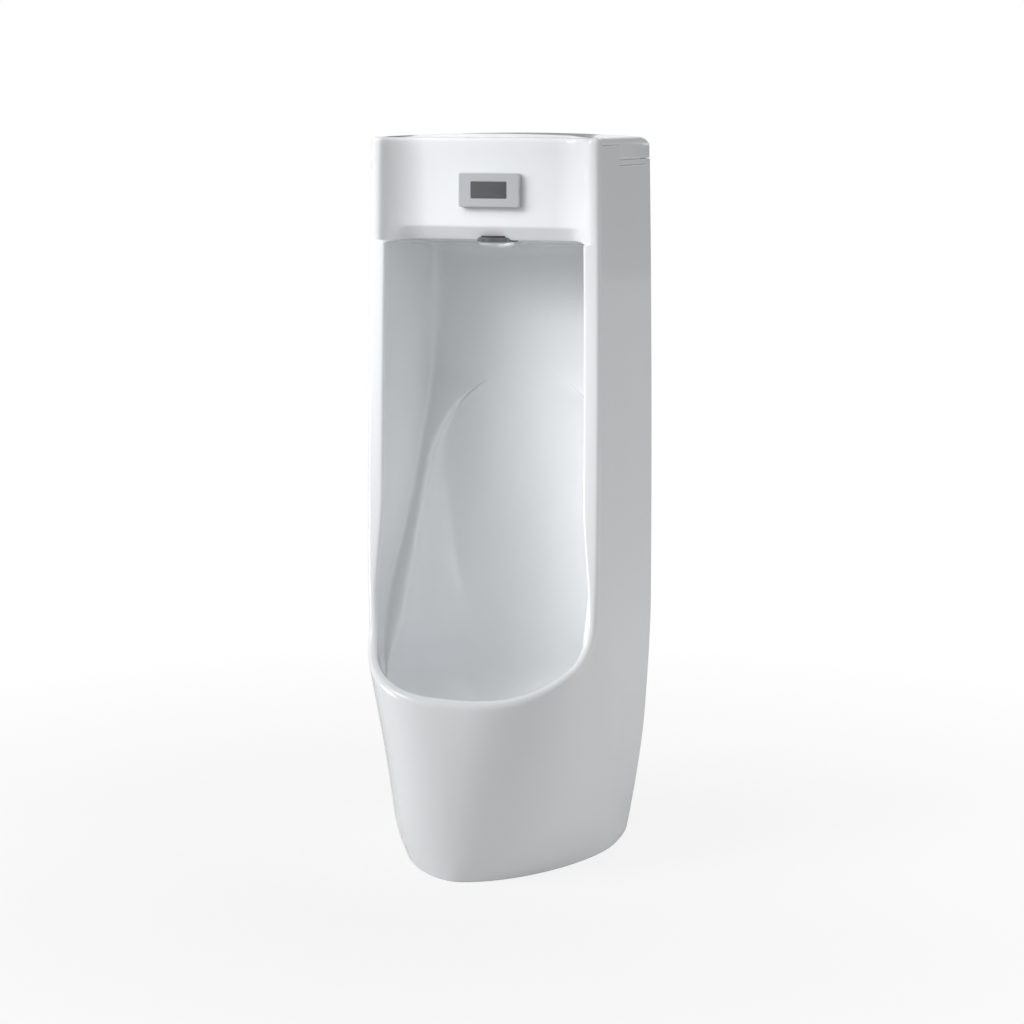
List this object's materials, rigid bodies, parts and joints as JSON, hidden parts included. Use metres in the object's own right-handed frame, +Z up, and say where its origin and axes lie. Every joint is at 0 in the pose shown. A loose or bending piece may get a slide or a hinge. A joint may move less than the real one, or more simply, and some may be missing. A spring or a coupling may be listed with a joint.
{
  "type": "sensor urinal",
  "caption": "Floor-standing slab urinal with a tall cavity, an arched basin, a rolled rim, a sensor plate, a water spreader and a lift-off lid.",
  "frame": {"origin": "on the floor, halfway between the wall plane and the lip, on the plane of symmetry", "axes": "+X to the right seen from the front, +Y back to the wall, +Z up; the front faces -Y and the wall plane is the row's +Y limit"},
  "size_m": [0.345, 0.348, 1.005],
  "materials": {
    "white_glazed_ceramic": "glossy fired glaze",
    "pale_grey_strip": "satin",
    "satin_silver": "satin, fine grain",
    "smoked_window": "glossy, dark smoked",
    "black_rubber": "matte",
    "black_plastic": "fine texture",
    "green_board": "lacquered board",
    "clear_grey_plastic": "glossy",
    "stainless_steel": "satin",
    "polished_chrome": "polished",
    "yellow_brass": "machined",
    "red_fibre": "pressed fibre",
    "white_plastic": "moulded",
    "braided_steel": "woven braid",
    "blue_lever": "moulded",
    "grey_plastic": "fine texture",
    "cell_sleeve": "printed-free plastic sleeve",
    "black_cable": "matte sheath",
    "white_pipe": "moulded",
    "zinc_steel": "zinc plated"
  },
  "bodies": {
    "urinal": {"ceramic_body": "white_glazed_ceramic", "lid_seat_strips": "pale_grey_strip", "sensor_plate": "satin_silver", "sensor_window": "smoked_window", "sensor_gasket": "black_rubber", "sensor_housing": "black_plastic", "sensor_board": "green_board", "sensor_diodes": "clear_grey_plastic", "sensor_screws": "stainless_steel", "spreader_cap": "polished_chrome", "spreader_gasket": "black_rubber", "spreader_stem": "yellow_brass", "spreader_washer": "red_fibre", "spreader_nut": "yellow_brass", "flush_elbow": "yellow_brass", "flush_pipe": "polished_chrome", "valve_body": "yellow_brass", "piston_spring": "stainless_steel", "valve_bonnet": "yellow_brass", "bonnet_screws": "stainless_steel", "solenoid_coil": "black_plastic", "plunger_spring": "stainless_steel", "inlet_strainer": "stainless_steel", "hose_nuts": "polished_chrome", "supply_hose": "braided_steel", "stop_valve_body": "polished_chrome", "battery_box": "grey_plastic", "batteries": "cell_sleeve", "control_box": "grey_plastic", "control_cover": "grey_plastic", "control_board": "green_board", "sensor_cable": "black_cable", "valve_cable": "black_cable", "battery_cable": "black_cable", "drain_flange": "polished_chrome", "drain_gasket": "black_rubber", "drain_nut": "polished_chrome", "trap_pipe": "white_pipe", "trap_nut": "white_pipe", "wall_seal": "black_rubber", "wall_cleats": "zinc_steel", "cleat_bolts": "zinc_steel", "cleat_nuts": "zinc_steel"},
    "top_lid": {"top_lid": "white_glazed_ceramic"},
    "drain_strainer": {"drain_strainer": "polished_chrome"},
    "stop_lever": {"stop_lever": "blue_lever", "stop_valve_ball": "polished_chrome", "lever_screw": "stainless_steel"},
    "plunger": {"plunger": "stainless_steel"},
    "piston": {"piston": "white_plastic", "piston_seal": "black_rubber"},
    "flow_screw": {"flow_screw": "stainless_steel"},
    "battery_cover": {"battery_cover": "grey_plastic"}
  },
  "joints": [
    {"name": "lid_lift", "type": "slide", "parent": "urinal", "child": "top_lid", "axis": [0, 0, 1], "range_m": [0, 0.06]},
    {"name": "strainer_lift", "type": "slide", "parent": "urinal", "child": "drain_strainer", "axis": [0, 0, 1], "range_m": [0, 0.05]},
    {"name": "stop_turn", "type": "hinge", "parent": "urinal", "child": "stop_lever", "pos_m": [0.118, 0.15, 0.942], "axis": [0, 0, -1], "range_deg": [0, 90]},
    {"name": "plunger_pull", "type": "slide", "parent": "urinal", "child": "plunger", "axis": [0, 0, 1], "range_m": [0, 0.002], "stiffness_N_per_m": 300, "springref_m": -0.003, "deforming": ["plunger_spring"]},
    {"name": "piston_rise", "type": "slide", "parent": "urinal", "child": "piston", "axis": [0, 0, 1], "range_m": [0, 0.004], "stiffness_N_per_m": 600, "springref_m": -0.006, "deforming": ["piston_spring"]},
    {"name": "flow_turn", "type": "hinge", "parent": "urinal", "child": "flow_screw", "pos_m": [-0.03, 0.089, 0.905], "axis": [-1, 0, 0], "range_deg": [-180, 180]},
    {"name": "battery_cover_lift", "type": "slide", "parent": "urinal", "child": "battery_cover", "axis": [0, 0, 1], "range_m": [0, 0.03]}
  ]
}
